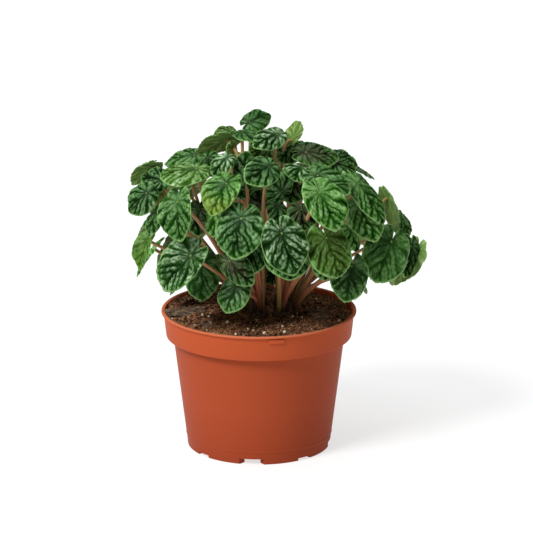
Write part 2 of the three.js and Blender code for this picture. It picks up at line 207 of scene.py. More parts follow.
def makeCamera():
    s = cameraSettings
    down = photoView["lookDown"] * degree
    across, up = photoView["middle"]
    toViewer = Vector((0, -math.cos(down), math.sin(down)))
    middle = Vector((across, 0, 0)) + Vector((0, math.sin(down), math.cos(down))) * up
    lens = bpy.data.cameras.new("camera")
    lens.sensor_width = s["sensor"]
    lens.lens = s["sensor"] * (photoView["distance"] - photoView["depth"]) / s["picture"]
    camera = addItem("camera", lens)
    camera.matrix_world = Matrix.Translation((middle + toViewer * photoView["distance"]) * mm)
    camera.matrix_world @= Matrix.Rotation(math.pi / 2 - down, 4, "X")
    bpy.context.scene.camera = camera


makeCamera()
print("camera placed")


# Pot, an azalea nursery pot

potSizes = {
    "height": 109,
    "rimRadius": 76,
    "bandTopRadius": 74.2,
    "bandFootRadius": 72.2,
    "bandFootHeight": 88.8,
    "wallTopRadius": 66.8,
    "wallFootRadius": 57.1,
    "ringRadius": 55.9,
    "ringInnerRadius": 50.6,
    "seamHeight": 10,
    "floorUnderside": 4.6,
    "floorTop": 6.4,
    "wall": 1.7,
    "padRadius": 12,
    "sides": 192,
    "notchTurn": -5.6,  # degrees, the front notch is a little left of the middle
    "wideNotch": (23.5, 7, 4.6),  # outer width, inner width, height
    "narrowNotch": (13, 10, 2.2),
    "cutPast": (4, 2),  # how far the notches are cut past the foot ring, inwards and outwards
    "holeRadius": 3.5,
    "holeCircle": 43,
    "holeDepth": 8,
    "tab": (12, 2, 3.3),
    "tabProud": 0.8,
    "tabTurn": 10.5,
    "tabMiddle": 104.8,
    "tabRound": 0.35,
}


# Materials

# Injection-moulded polypropylene: even terracotta colour, a satin skin with faint flow marks, painted shade
# low down, painted light from the band up and a painted highlight along the rim's top
def makePotPlastic():
    material, shader = newMaterial("mouldedPolypropylene")
    place = objectPlace(shader)
    height = addNode(shader.id_data, "ShaderNodeSeparateXYZ", {"Vector": place}).outputs["Z"]
    level = addRange(height, 0, potSizes["height"] * mm, 0, 1)
    # painted by height: shade low down, light on the band and a highlight on the rim's top
    colour = addRamp(level, (0, "#943e23"), (0.4, "#a24629"), (0.8, "#a44829"), (0.815, "#b04e2c"),
                     (0.988, "#b5512d"), (1, "#cd7451"))
    grain = addNoise(place, 1500, 2)  # 0.7 mm skin
    flow = addNoise(place, 28, 3)
    setInputs(shader, {
        "Base Color": colour, "Normal": addBump(grain, 0.12, 0.1),
        "Roughness": addRange(flow, 0, 1, 0.42, 0.55), "IOR": 1.49, "Specular IOR Level": 0.05})
    return material


# Peat: milled and damp, near black in the pores and fox brown where fibres dry out
def makePeat():
    material, shader = newMaterial("milledPeat")
    place = objectPlace(shader)
    grit = addNode(shader.id_data, "ShaderNodeTexVoronoi", {"Vector": place, "Scale": 800})  # 1.2 mm grains
    dryness = addNoise(place, 420, 6, 0.7)  # 2 mm crumbs
    dryness = addMath("MULTIPLY_ADD", addNoise(place, 70, 3), 0.45, dryness)  # 15 mm patches
    dryness = addMath("MULTIPLY_ADD", grit.outputs["Color"], 0.35, dryness)
    colour = addRamp(dryness, (0.64, "#201008"), (0.84, "#4d2a19"), (1, "#996b47"))
    setInputs(shader, {
        "Base Color": colour, "Normal": addBump(grit.outputs["Distance"], 0.8, 0.7), "Roughness": 0.92,
        "IOR": 1.4})
    return material


# Perlite: popped volcanic glass, chalk white and matte
def makePerlite():
    material, shader = newMaterial("poppedPerlite")
    colour = addRamp(addNoise(objectPlace(shader), 900, 2), (0.35, "#a98c62"), (0.6, "#efe4c8"))
    setInputs(shader, {"Base Color": colour, "Roughness": 0.85})
    return material


# Root fibre and wood shreds: dry and straw brown
def makeFibre():
    material, shader = newMaterial("dryRootFibre")
    colour = addRamp(addNoise(objectPlace(shader), 300, 2), (0.35, "#5b3a22"), (0.65, "#a4764c"))
    setInputs(shader, {"Base Color": colour, "Roughness": 0.8})
    return material


# Pine bark: split and weathered, grey-brown plates with darker cracks
def makeBark():
    material, shader = newMaterial("weatheredPineBark")
    along = addNode(shader.id_data, "ShaderNodeMapping", {
        "Vector": objectPlace(shader), "Scale": (1, 2.6, 3)})  # drawn out along the chip
    plates = addNoise(along.outputs["Vector"], 180, 6, 0.65)
    colour = addRamp(plates, (0.34, "#241a13"), (0.5, "#5e4836"), (0.66, "#937b62"))
    setInputs(shader, {"Base Color": colour, "Normal": addBump(plates, 0.7, 0.8), "Roughness": 0.85})
    return material


# What the leaf materials read from the mesh: relief is 0 in a vein's groove and 1 on a pucker's top, rim
# is 0 at the stalk's end and 1 at the edge, and the others say how much of that look a leaf has, the sheen
# share being a painted sheen, a pale colour on the puckers' tops. On a stalk rim runs from foot to top,
# plum is its crimson share and gold its olive share.
leafLayers = ("relief", "rim", "light", "paintedSheen", "plum", "gold")


def readLayers(shader, *names):
    return [addNode(shader.id_data, "ShaderNodeAttribute", attribute_name=name).outputs["Fac"]
            for name in names]


# The groove colours are partly the veins' own deep green and partly painted shade; the top colours are
# partly painted light.
leafColours = {
    "groove": "#050f02",
    "slope": "#12300b",
    "top": "#4a7b3f",
    "lightSlope": "#2a6018",
    "lightTop": "#7fb656",
    # a painted sheen: the pale colour laid on the puckers' tops
    "paintedSheenTop": "#a9bda0",
    "plumGroove": "#170d0a",
    "plumTop": "#474b30",
    "edge": "#86b068",
    "gold": "#8f9f2a",
    "heart": "#7f9a48",
}


# Peperomia leaf: a thick waxy blade, puckered between sunk veins. The skin is satin and catches the
# light on the puckers. Their silvery look is a painted sheen in the colour, and the grooves stay bottle
# green, near black where painted shade deepens them.
def makeUpperLeaf():
    material, shader = newMaterial("waxyLeafUpperSide")
    relief, rim, light, paintedSheen, plum, gold = readLayers(shader, *leafLayers)
    c = leafColours
    place = objectPlace(shader)
    mottle = addNoise(place, 420, 4, 0.6)  # 2 mm cells
    patches = addNoise(place, 90, 2)
    height = relief
    # The height is lowered round the stalk's end: partly the blade's own darker heart, partly painted shade
    # in the hollow there
    for source, low, high, lowest, highest in [
            (mottle, 0.3, 0.7, -0.12, 0.12), (patches, 0.3, 0.7, -0.14, 0.14), (rim, 0, 0.35, -0.2, 0.04)]:
        height = addMath("ADD", addRange(source, low, high, lowest, highest), height)
    frayedRim = addMath("MULTIPLY_ADD", patches, 0.08, rim)
    # Colour by relief: dark in the grooves, partly the veins' own deep green and partly painted shade, and
    # lighter on the puckers' tops, partly painted light
    colour = addRamp(height, (0.02, c["groove"]), (0.45, c["slope"]), (0.95, c["top"]))
    lightBlade = addRamp(height, (0, c["groove"]), (0.38, c["lightSlope"]), (0.92, c["lightTop"]))
    plumBlade = addRamp(height, (0.1, c["plumGroove"]), (0.9, c["plumTop"]))
    for other, amount, source, low, high, lowest, highest in [
            (lightBlade, light, height, 0, 0.1, 1, 1),
            # painted sheen on the puckers' tops, as much as the leaf's sheen share says
            (linearColour(c["paintedSheenTop"]), paintedSheen, height, 0.48, 1.05, 0, 1),
            (plumBlade, plum, rim, 0.45, 1, 1, 0),
            (linearColour(c["gold"]), gold, height, 0, 0.7, 0.4, 1),
            (linearColour(c["edge"]), 1, frayedRim, 0.98, 1.03, 0, 0.85),
            (linearColour(c["heart"]), 1, rim, 0.02, 0.06, 0.75, 0)]:
        where = addRange(source, low, high, lowest, highest, interpolation_type="SMOOTHSTEP")
        colour = addMix(addMath("MULTIPLY", where, amount), colour, other)
    setInputs(shader, {
        "Base Color": colour, "Normal": addBump(mottle, 0.35, 0.4), "IOR": 1.45,
        "Roughness": addRange(relief, 0.3, 0.95, 0.52, 0.36),
        "Specular IOR Level": addRange(relief, 0.3, 0.95, 0.03, 0.45)})
    return material


# The under side is matte olive. The veins stand out on it, paler than the hollows of the puckers.
def makeUnderLeaf():
    material, shader = newMaterial("matteLeafUnderSide")
    relief, light, plum = readLayers(shader, "relief", "light", "plum")
    height = addMath("MULTIPLY_ADD", addNoise(objectPlace(shader), 200, 4), 0.9, relief)
    colour = addRamp(height, (0.55, "#80a050"), (1, "#466c2c"))
    colour = addMix(light, colour, addRamp(height, (0.55, "#b2ca80"), (1, "#759c50")))
    colour = addMix(plum, colour, linearColour("#6b4a3a"))
    setInputs(shader, {"Base Color": colour, "Roughness": 0.6, "IOR": 1.4, "Specular IOR Level": 0.2})
    return material


# Leaf stalk: fleshy and smooth, pink-brown with an olive end, painted darker towards the foot as painted
# shade under the leaves
def makeStalkSkin():
    material, shader = newMaterial("fleshyLeafStalk")
    along, olive, crimson = readLayers(shader, "rim", "gold", "plum")
    fleck = addRange(addNoise(objectPlace(shader), 600, 3), 0.4, 0.75, 0, 0.35)
    # dark at the foot: painted shade under the leaves
    colour = addRamp(along, (0, "#3a2015"), (0.2, "#8f543b"), (0.45, "#bd7f5c"), (0.8, "#c89468"),
                     (1, "#ab9150"))
    for amount, other in [(olive, "#8f8a48"), (crimson, "#8a2436"), (fleck, "#6e3a2a")]:
        colour = addMix(amount, colour, linearColour(other))
    setInputs(shader, {"Base Color": colour, "Roughness": 0.42, "IOR": 1.42, "Specular IOR Level": 0.3})
    return material


potPlastic = makePotPlastic()
peat = makePeat()
perlite = makePerlite()
fibre = makeFibre()
bark = makeBark()
leafMaterials = [makeUpperLeaf(), makeUnderLeaf(), makeStalkSkin()]
print("materials made")


# The pot's section as (radius, height, rounding), all the way round
def potSection():
    s = potSizes
    wall = s["wall"]
    return [
        (0, 0, 0),
        (s["padRadius"], 0, 0.6),
        (s["padRadius"] + 1.2, s["floorUnderside"], 0.8),
        (s["ringInnerRadius"], s["floorUnderside"], 0.8),
        (s["ringInnerRadius"], 0, 0.6),
        (s["ringRadius"], 0, 0.8),
        (s["wallFootRadius"] - 0.35, s["seamHeight"] - 0.9, 0.4),
        (s["wallFootRadius"] + 0.15, s["seamHeight"] - 0.2, 0.15),  # the seam's small step
        (s["wallFootRadius"] + 0.02, s["seamHeight"] + 0.9, 0.4),
        (s["wallTopRadius"], s["bandFootHeight"], 0.5),
        (s["bandFootRadius"], s["bandFootHeight"], 0.8),
        (s["bandTopRadius"], s["height"] - 1.9, 0.4),
        (s["rimRadius"], s["height"] - 1.6, 0.5),  # the lip
        (s["rimRadius"] - 0.3, s["height"], 0.7),
        (s["bandTopRadius"] - wall + 0.6, s["height"], 0.7),
        (s["bandTopRadius"] - wall, s["height"] - 1.6, 0.5),
        (s["bandFootRadius"] - wall, s["bandFootHeight"] + wall, 1),
        (s["wallTopRadius"] - wall, s["bandFootHeight"] + wall, 0.8),
        (s["wallFootRadius"] - wall, s["seamHeight"], 2),
        (s["wallFootRadius"] - wall - 2.5, s["floorTop"], 2),
        (0, s["floorTop"], 0),
    ]


# Rounds each corner of a section with an arc of a few points
def roundedPoints(section, steps=5):
    points = []
    for i, (radius, height, rounding) in enumerate(section):
        here = Vector((radius, height))
        if rounding == 0:
            points.append(here)
            continue
        before = Vector(section[i - 1][:2]) - here
        after = Vector(section[i + 1][:2]) - here
        reach = min(rounding, before.length * 0.45, after.length * 0.45)
        start = here + before.normalized() * reach
        end = here + after.normalized() * reach
        for k in range(steps + 1):
            t = k / steps
            points.append(start * (1 - t) ** 2 + here * 2 * t * (1 - t) + end * t * t)
    return points


# A wedge that cuts one notch between the feet
def addNotchCutter(bm, notch, turn):
    outer, inner, height = notch
    s = potSizes
    pastIn, pastOut = s["cutPast"]
    made = bmesh.ops.create_cube(bm, size=1)["verts"]
    for vert in made:
        far = vert.co.y < 0
        x = math.copysign((outer if far else inner) / 2, vert.co.x)
        y = -(s["ringRadius"] + pastOut) if far else -(s["ringInnerRadius"] - pastIn)
        vert.co = Vector((x, y, height if vert.co.z > 0 else -1)) * mm
    bmesh.ops.rotate(bm, verts=made, cent=(0, 0, 0), matrix=Matrix.Rotation(turn * degree, 3, "Z"))


def addHoleCutter(bm, turn):
    s = potSizes
    middle = Matrix.Rotation(turn * degree, 4, "Z") @ Matrix.Translation(
        Vector((0, -s["holeCircle"], s["floorTop"] - 1)) * mm)
    bmesh.ops.create_cone(bm, cap_ends=True, segments=32, radius1=s["holeRadius"] * mm,
                          radius2=s["holeRadius"] * mm, depth=s["holeDepth"] * mm, matrix=middle)


def addTab(bm):
    s = potSizes
    width, depth, height = s["tab"]
    made = bmesh.ops.create_cube(bm, size=1)["verts"]
    bmesh.ops.scale(bm, verts=made, vec=Vector((width, depth, height)) * mm)
    edges = list(dict.fromkeys(edge for vert in made for edge in vert.link_edges))
    made = bmesh.ops.bevel(bm, geom=edges, offset=s["tabRound"] * mm, segments=3, profile=0.5,
                           affect="EDGES", material=-1)["verts"]
    out = s["bandTopRadius"] + s["tabProud"] - depth / 2
    bmesh.ops.translate(bm, verts=made, vec=Vector((0, -out, s["tabMiddle"])) * mm)
    bmesh.ops.rotate(bm, verts=made, cent=(0, 0, 0), matrix=Matrix.Rotation(s["tabTurn"] * degree, 3, "Z"))


def makePot():
    s = potSizes
    section = roundedPoints(potSection())

    def place(turn, row):
        angle = turn * fullTurn / s["sides"]
        radius, height = section[row]
        return Vector((radius * math.cos(angle), radius * math.sin(angle), height)), ()

    shell = bmesh.new()
    wrapGrid(shell, s["sides"], len(section) - 1, place)
    cutters = bmesh.new()
    for i in range(4):
        turn = s["notchTurn"] + 90 * i
        addNotchCutter(cutters, s["wideNotch"], turn)
        addNotchCutter(cutters, s["narrowNotch"], turn + 45)
        addHoleCutter(cutters, turn)
        addHoleCutter(cutters, turn + 45)
    for bm in (shell, cutters):
        bmesh.ops.recalc_face_normals(bm, faces=bm.faces)
    body = addItem("potBody", meshOf("potShell", shell))
    cuts = addItem("potCuts", meshOf("potCuts", cutters))
    cut = body.modifiers.new("notches", "BOOLEAN")
    cut.operation = "DIFFERENCE"
    cut.object = cuts
    cut.solver = "EXACT"
    bpy.context.view_layer.update()
    bm = bmesh.new()
    bm.from_mesh(body.evaluated_get(bpy.context.evaluated_depsgraph_get()).to_mesh())
    for item in (body, cuts):
        bpy.data.objects.remove(item)
    addTab(bm)
    pot = finishPiece("nurseryPot", bm, [potPlastic], ["pot"])
    pot.data.set_sharp_from_angle(angle=35 * degree)


makePot()


# Soil

soilSizes = {
    "edgeHeight": 105,
    "mound": 3.2,
    "around": 260,
    "rings": 96,
    "backLift": 2.6,
    "lump": 1.1,  # how much the clods and the crumbs rise
    "crumb": 0.75,
    "rimGap": 0.35,  # between the soil and the pot, at the rim and lower down
    "sideGap": 0.6,
    "footGap": 0.5,
    "footHeight": 12,
    "underside": 7,
}

# Loose grains: how many, the smallest radius and what is added, how rare the large ones are, how rough,
# how far they are lifted as a share of the radius, and how far they keep off the rim
crumbSizes = dict(count=1800, smallest=0.45, added=1.4, rarity=2.4, rough=0.35, lift=0.35, margin=3)
perliteSizes = dict(count=230, smallest=0.3, added=1.2, rarity=3.5, rough=0.4, lift=0.3, margin=3)

fibreSizes = {
    "count": 190,
    "points": 9,
    "step": (0.6, 1.5),  # from point to point, shortest and longest
    "radius": (0.14, 0.3),
    "bend": 0.25,  # the most that the heading turns at a point
    "lift": 0.25,
    "arch": 0.5,
    "margin": 8,
}


# The soil's height: a mound with broad lumps that lies higher at the back left
def soilHeight(x, y):
    share = math.hypot(x, y) / potSizes["bandTopRadius"]
    lumps = 0.9 * math.sin(x * 0.19 + 1.1) * math.cos(y * 0.23) + 0.6 * math.sin(x * 0.41 - y * 0.37)
    backLeft = max(0, (y - x) / 100 - 0.1)
    mound = soilSizes["mound"] * (1 - share * share)
    return soilSizes["edgeHeight"] + mound + lumps + soilSizes["backLift"] * backLeft


# The soil's height with its clods and crumbs
def peatHeight(x, y):
    clods = noise.fractal(Vector((x * 0.16, y * 0.16, 3)), 0.9, 2.1, 4)  # 6 mm apart
    crumbs = noise.fractal(Vector((x * 0.7, y * 0.7, 9)), 0.7, 2.2, 3)  # 1.4 mm apart
    return soilHeight(x, y) + soilSizes["lump"] * clods + soilSizes["crumb"] * crumbs


def makeSoil():
    s = soilSizes
    p = potSizes
    edgeRadius = p["bandTopRadius"] - p["wall"] - s["rimGap"]
    ledge = p["bandFootHeight"] + p["wall"] + s["footGap"]
    side = [(p["bandFootRadius"] - p["wall"] - s["sideGap"], ledge),
            (p["wallTopRadius"] - p["wall"] - s["sideGap"], ledge),
            (p["wallFootRadius"] - p["wall"] - s["footGap"], s["footHeight"]), (0, s["underside"])]

    def place(turn, row):
        angle = turn * fullTurn / s["around"]
        if row <= s["rings"]:
            radius = edgeRadius * row / s["rings"]
            x = radius * math.cos(angle)
            y = radius * math.sin(angle)
            return Vector((x, y, peatHeight(x, y))), ()
        radius, height = side[row - s["rings"] - 1]
        return Vector((radius * math.cos(angle), radius * math.sin(angle), height)), ()

    bm = bmesh.new()
    wrapGrid(bm, s["around"], s["rings"] + len(side), place)
    finishPiece("peatFill", bm, [peat], ["soil"])


# A place on the soil, evenly scattered, that keeps off the rim
def soilSpot(rng, margin):
    reach = potSizes["bandTopRadius"] - potSizes["wall"] - margin
    radius = reach * math.sqrt(rng.random())
    angle = fullTurn * rng.random()
    return radius * math.cos(angle), radius * math.sin(angle)


def grainSize(rng, g):
    return g["smallest"] + g["added"] * rng.random() ** g["rarity"]


def between(rng, low, high):
    return low + (high - low) * rng.random()


def makeCrumbs():
    g = crumbSizes
    rng = random.Random(4)
    bm = bmesh.new()
    for i in range(g["count"]):
        x, y = soilSpot(rng, g["margin"])
        size = grainSize(rng, g)
        made = bmesh.ops.create_icosphere(bm, subdivisions=1, radius=1)["verts"]
        squeeze = Vector((size * between(rng, 0.8, 1.4), size, size * between(rng, 0.55, 0.95)))
        turn = Matrix.Rotation(fullTurn * rng.random(), 3, "Z") @ Matrix.Rotation(rng.random(), 3, "X")
        for vert in made:
            rough = 1 + g["rough"] * noise.noise(vert.co * 1.7 + Vector((i, 0, 0)))
            point = turn @ Vector([a * b * rough for a, b in zip(vert.co, squeeze)])
            vert.co = (point + Vector((x, y, peatHeight(x, y) + size * g["lift"]))) * mm
    finishPiece("peatCrumbs", bm, [peat])


def makePerliteGrains():
    g = perliteSizes
    rng = random.Random(11)
    bm = bmesh.new()
    for i in range(g["count"]):
        x, y = soilSpot(rng, g["margin"])
        size = grainSize(rng, g)
        made = bmesh.ops.create_icosphere(bm, subdivisions=2, radius=size)["verts"]
        for vert in made:
            rough = 1 + g["rough"] * noise.noise(vert.co * (1.4 / size) + Vector((0, i, 0)))
            vert.co = (vert.co * rough + Vector((x, y, peatHeight(x, y) + size * g["lift"]))) * mm
    finishPiece("perliteGrains", bm, [perlite])


def makeFibres():
    s = fibreSizes
    rng = random.Random(23)
    bm = bmesh.new()
    for i in range(s["count"]):
        x, y = soilSpot(rng, s["margin"])
        heading = fullTurn * rng.random()
        bend = between(rng, -s["bend"], s["bend"])
        step = between(rng, *s["step"])
        radius = between(rng, *s["radius"])
        line = []
        for k in range(s["points"]):
            arch = s["arch"] * math.sin(math.pi * k / (s["points"] - 1))
            line.append(Vector((x, y, peatHeight(x, y) + s["lift"] + arch)))
            x += step * math.cos(heading)
            y += step * math.sin(heading)
            heading += bend
        addTube(bm, line, [radius] * s["points"], 5)
    finishPiece("rootFibres", bm, [fibre])


makeSoil()
makeCrumbs()
makePerliteGrains()
makeFibres()


# Bark chips that lie half sunk in the soil, with their length, width and thickness
barkChips = [
    dict(name="bark_chip_left", x=-55, y=-8, size=(22, 14, 4), turn=0.3, tilt=0.25),
    dict(name="bark_chip_right", x=47, y=-20, size=(11, 13, 3.6), turn=0.2, tilt=0.75),
    dict(name="bark_chip_front", x=-40, y=-40, size=(9, 6, 3), turn=-0.6, tilt=0.3),
]


# A lens, squared off and split along the grain
def makeBarkChip(chip):
    bm = bmesh.new()
    made = bmesh.ops.create_icosphere(bm, subdivisions=5, radius=0.5)["verts"]
    place = Matrix.Translation((chip["x"], chip["y"], soilHeight(chip["x"], chip["y"]) + 0.8))
    place @= Matrix.Rotation(chip["turn"], 4, "Z") @ Matrix.Rotation(chip["tilt"], 4, "X")
    for vert in made:
        u, v, w = vert.co
        squared = 1.3 - 0.6 * abs(u * v) - 0.25 * math.sin(7 * u + 5 * v)
        splinter = 1 + 0.4 * noise.fractal(Vector((u * 3, v * 7, w * 3 + chip["x"])), 0.8, 2, 4)
        point = Vector((u * squared * chip["size"][0], v * squared * chip["size"][1], w * chip["size"][2]))
        vert.co = (place @ (point * splinter)) * mm
    name = "".join(word.capitalize() for word in chip["name"].split("_"))
    finishPiece("piece" + name, bm, [bark], [chip["name"]])


for chip in barkChips:
    makeBarkChip(chip)


# Leaves

crownSizes = {
    "count": 8,
    "centre": (9, -2),
    "circle": 17,
    "radius": 5,
    "depth": 13,  # how far a crown's stem stands in the soil and above it
    "rise": 9,
}

domeCentre = Vector((9, 0, 140))  # leaves face away from here

# Where a leaf's point really is, from where the view shows it
def seen(place):
    across, up, front = place
    middleAcross, middleUp = photoView["middle"]
    down = photoView["lookDown"] * degree
    depth = up * math.sin(down) + front * math.cos(down)
    shrink = 1 - (depth - photoView["depth"]) / photoView["distance"]
    height = middleUp + (up - middleUp) * shrink
    return Vector((middleAcross + (across - middleAcross) * shrink, -front,
                   (height + front * math.sin(down)) / math.cos(down)))


def framedLeaf(junction, tip, width, facing, fold=8, arch=0.16, crown=0, kind="plain"):
    chord = tip - junction
    straight = chord.normalized()
    face = (facing - straight * facing.dot(straight)).normalized()
    along = (straight + face * arch).normalized()
    normal = (face - along * face.dot(along)).normalized()
    return dict(junction=junction, length=chord.length, width=width, along=along,
                aside=normal.cross(along), normal=normal, fold=fold * degree, arch=arch,
                crown=crown, kind=kind)


def seenLeaf(junction, tip, width, facing=None, **rest):
    junction = seen(junction)
    tip = seen(tip)
    facing = Vector(facing) if facing else (junction + tip) / 2 - domeCentre
    return framedLeaf(junction, tip, width, facing.normalized(), **rest)


# Leaves seen from the front: where the stalk meets the blade and where the tip is, both as (across, up,
# front), the blade's width, and for a leaf that doesn't face outwards, the way that its top faces
frontLeaves = [
    # the big ones in the middle
    seenLeaf((-13.5, 175, 80), (-20.5, 144, 88), 38, kind="deep"),
    seenLeaf((17.5, 163.5, 91), (27.5, 132, 97), 35, kind="paintedSheen"),
    seenLeaf((46.5, 195, 72), (61, 166, 84), 35, fold=-12, kind="light"),
    seenLeaf((52, 160, 76), (62.5, 129.5, 82), 37, kind="olive"),
    seenLeaf((-25, 202, 62), (-37.5, 178, 74), 31, fold=-16, kind="yellow"),
    seenLeaf((8, 215, 60), (-9.5, 203.5, 72), 25, facing=(-0.1, -0.85, 0.5)),
    seenLeaf((33, 182, 52), (36, 166, 60), 24, kind="plum"),
    # low leaves behind them
    seenLeaf((-4, 154, 52), (-8, 131.5, 64), 25),
    seenLeaf((22, 152, 65), (24, 128, 80), 36, kind="crimson"),
    seenLeaf((-23, 142, 58), (-5, 124, 68), 22, kind="plum"),
    seenLeaf((-17, 123, 54), (-25.5, 102, 62), 25, kind="dusky"),
    seenLeaf((72, 138, 60), (67, 110.5, 68), 29, facing=(0.15, -0.9, 0.35), kind="dusky"),
    seenLeaf((49, 146, 56), (52, 127, 60), 20, kind="dark"),
    seenLeaf((-44.5, 141, 26), (-44.5, 111, 35), 28, facing=(-0.15, -0.9, 0.35), kind="smooth"),
    seenLeaf((-34, 181, 46), (-36, 161, 58), 18, kind="light"),
    # its colour is painted lighter, as painted light for its place in the shade
    seenLeaf((-46.5, 182, 19), (-47.5, 162, 28), 24, facing=(-0.1, -0.9, 0.4), kind="violet"),
    # left
    seenLeaf((-63, 188, 52), (-61, 158, 66), 34, fold=-20, kind="fresh"),
    seenLeaf((-52.5, 146, 62), (-75, 120, 60), 35, facing=(-0.45, -0.75, 0.45), fold=-26, crown=7,
             kind="paintedSheen"),
    seenLeaf((-87, 194.5, 24), (-102, 181.5, 22), 29, facing=(-0.6, -0.65, 0.5)),
    seenLeaf((-75.5, 204.5, 8), (-90.5, 208, 2), 22, facing=(-0.5, -0.5, 0.7)),
    seenLeaf((-84, 216, -16), (-98, 202, -20), 24, facing=(-0.6, 0.72, 0.3), crown=7, kind="fresh"),
    seenLeaf((-77, 194, -5), (-85, 179, 0), 20, facing=(-0.8, 0.5, 0.2), crown=7, kind="light"),
    seenLeaf((-79, 180, 30), (-86, 161, 36), 18, facing=(-0.75, -0.5, 0.4), kind="dark"),
    seenLeaf((-86.5, 158, 20), (-93, 135, 25), 19, facing=(-0.7, -0.65, 0.2), fold=-38, kind="young"),
    # upper left
    seenLeaf((-25.5, 221.5, 44), (-35.5, 209, 54), 17, facing=(-0.3, -0.8, 0.5), kind="paintedSheen"),
    seenLeaf((-48.5, 213, 30), (-77, 209, 26), 35, facing=(-0.22, -0.25, 0.94), fold=14, kind="pale"),
    seenLeaf((-50, 224, -8), (-73, 219, -14), 28, facing=(-0.3, -0.3, 0.9)),
    seenLeaf((-52, 205, 8), (-72, 198, 4), 22, facing=(-0.3, 0.6, 0.7), kind="light"),
    seenLeaf((-24, 238, 4), (-48, 227, 2), 27, facing=(-0.3, 0.72, 0.62), kind="fresh"),
    seenLeaf((-22, 242, -22), (-35, 239, -20), 18, facing=(-0.3, -0.6, 0.75), kind="olive"),
    seenLeaf((-13, 241.5, 19), (5, 237.5, 22), 24, facing=(0.1, -0.12, 1), kind="smooth"),
    seenLeaf((-21, 231, 10), (-26, 223, 16), 15, facing=(0, 0.75, 0.6), kind="light"),
    # top
    seenLeaf((-7.5, 249.5, -4), (8.5, 256, -10), 19, facing=(-0.25, -0.75, 0.6), kind="smooth"),
    seenLeaf((14, 240, 29), (-4, 231, 38), 21, facing=(-0.2, -0.7, 0.65), kind="paintedSheen"),
    seenLeaf((26.5, 235.5, 13), (29, 249.5, 2), 23, facing=(0.3, 0.7, 0.5), crown=1, kind="dark"),
    seenLeaf((25, 231, 14), (17, 219, 22), 22, facing=(0.1, -0.7, 0.6), crown=1),
    seenLeaf((8, 231, 4), (-7, 225.5, 10), 23, facing=(-0.2, -0.75, 0.6), kind="olive"),
    seenLeaf((-10, 206, 46), (-10, 227, 34), 20, facing=(0, -0.9, 0.45), kind="dark"),
    # upper right
    seenLeaf((36, 226, 24), (62, 223, 16), 26, facing=(0.3, -0.45, 0.85), kind="plum"),
    seenLeaf((59, 223, 2), (77, 217.5, -4), 22, facing=(0.5, -0.4, 0.8), kind="dark"),
    seenLeaf((60, 217, 18), (76, 212, 14), 18, facing=(0.5, -0.5, 0.7), kind="dark"),
    seenLeaf((45, 208, 50), (70, 195, 56), 30, facing=(0.3, -0.6, 0.75)),
    seenLeaf((33, 214, 32), (27, 205, 42), 26, facing=(0, -0.6, 0.8), kind="paintedSheen"),
    # right
    # painted lighter to stand in for light, as it lies in its neighbour's shade
    seenLeaf((77, 187, 30), (91, 158, 47), 30, facing=(0.3, -0.85, 0.4), kind="bright"),
    seenLeaf((77, 202, 34), (97, 171, 46), 26, facing=(0.65, -0.6, 0.5), kind="fresh"),
    seenLeaf((70, 166, 34), (76, 150, 44), 20, kind="light"),
    seenLeaf((100.5, 191, -6), (107.5, 165, 0), 26, facing=(0.88, 0.45, 0.2), kind="young"),
    seenLeaf((109.5, 176.5, -18), (117, 160.5, -12), 20, facing=(0.7, -0.5, 0.5), kind="fresh"),
    seenLeaf((103, 157, 34), (90, 126, 48), 37, facing=(0.3, -0.85, 0.4), kind="smooth"),
    seenLeaf((118, 153.5, 10), (114, 129.5, 19), 24, facing=(0.6, -0.75, 0.3), kind="dark"),
    seenLeaf((121, 148.5, 2), (104, 124, 14), 30, facing=(0.7, 0.65, 0.1), crown=2, kind="light"),
    # deep in the shade between the stalks
    seenLeaf((18, 196, 38), (7, 206, 34), 26, facing=(0, -0.95, 0.2), kind="dark"),
    seenLeaf((2, 186, 36), (-2, 197, 31), 22, facing=(0, -1, 0.1), kind="plum"),
    seenLeaf((-12, 203, 26), (-14, 190, 32), 18, crown=7, kind="dark"),
    seenLeaf((14, 184, 50), (16, 170, 58), 16, kind="dark"),
    seenLeaf((-39.5, 222, 14), (-37, 208, 20), 20, kind="dark"),
    seenLeaf((27, 204, 28), (24, 187, 36), 24, facing=(0, -0.95, 0.3), kind="plum"),
    seenLeaf((9, 140, 2), (10, 124, 10), 24, facing=(0, -0.95, 0.3), kind="dark"),
]

# Rows of leaves round the back, from the lowest row to the top one. They start and end at an angle from the
# front, and pitch is how steeply a leaf hangs, both in degrees.
backRows = [
    dict(height=140, radius=62, leaves=5, first=104, last=262, pitch=56, length=26),
    dict(height=158, radius=92, leaves=7, first=114, last=262, pitch=60, length=30),
    dict(height=188, radius=84, leaves=7, first=110, last=252, pitch=50, length=30),
    dict(height=216, radius=62, leaves=5, first=112, last=250, pitch=34, length=27),
    dict(height=240, radius=34, leaves=2, first=135, last=185, pitch=20, length=26),
]

# The most that a back leaf strays from its row, in degrees, mm or a share
backStray = {"turn": 4, "radius": 5, "height": 5, "pitch": 8, "aside": 0.25, "length": 4}
backWidth = 1.08  # of its length

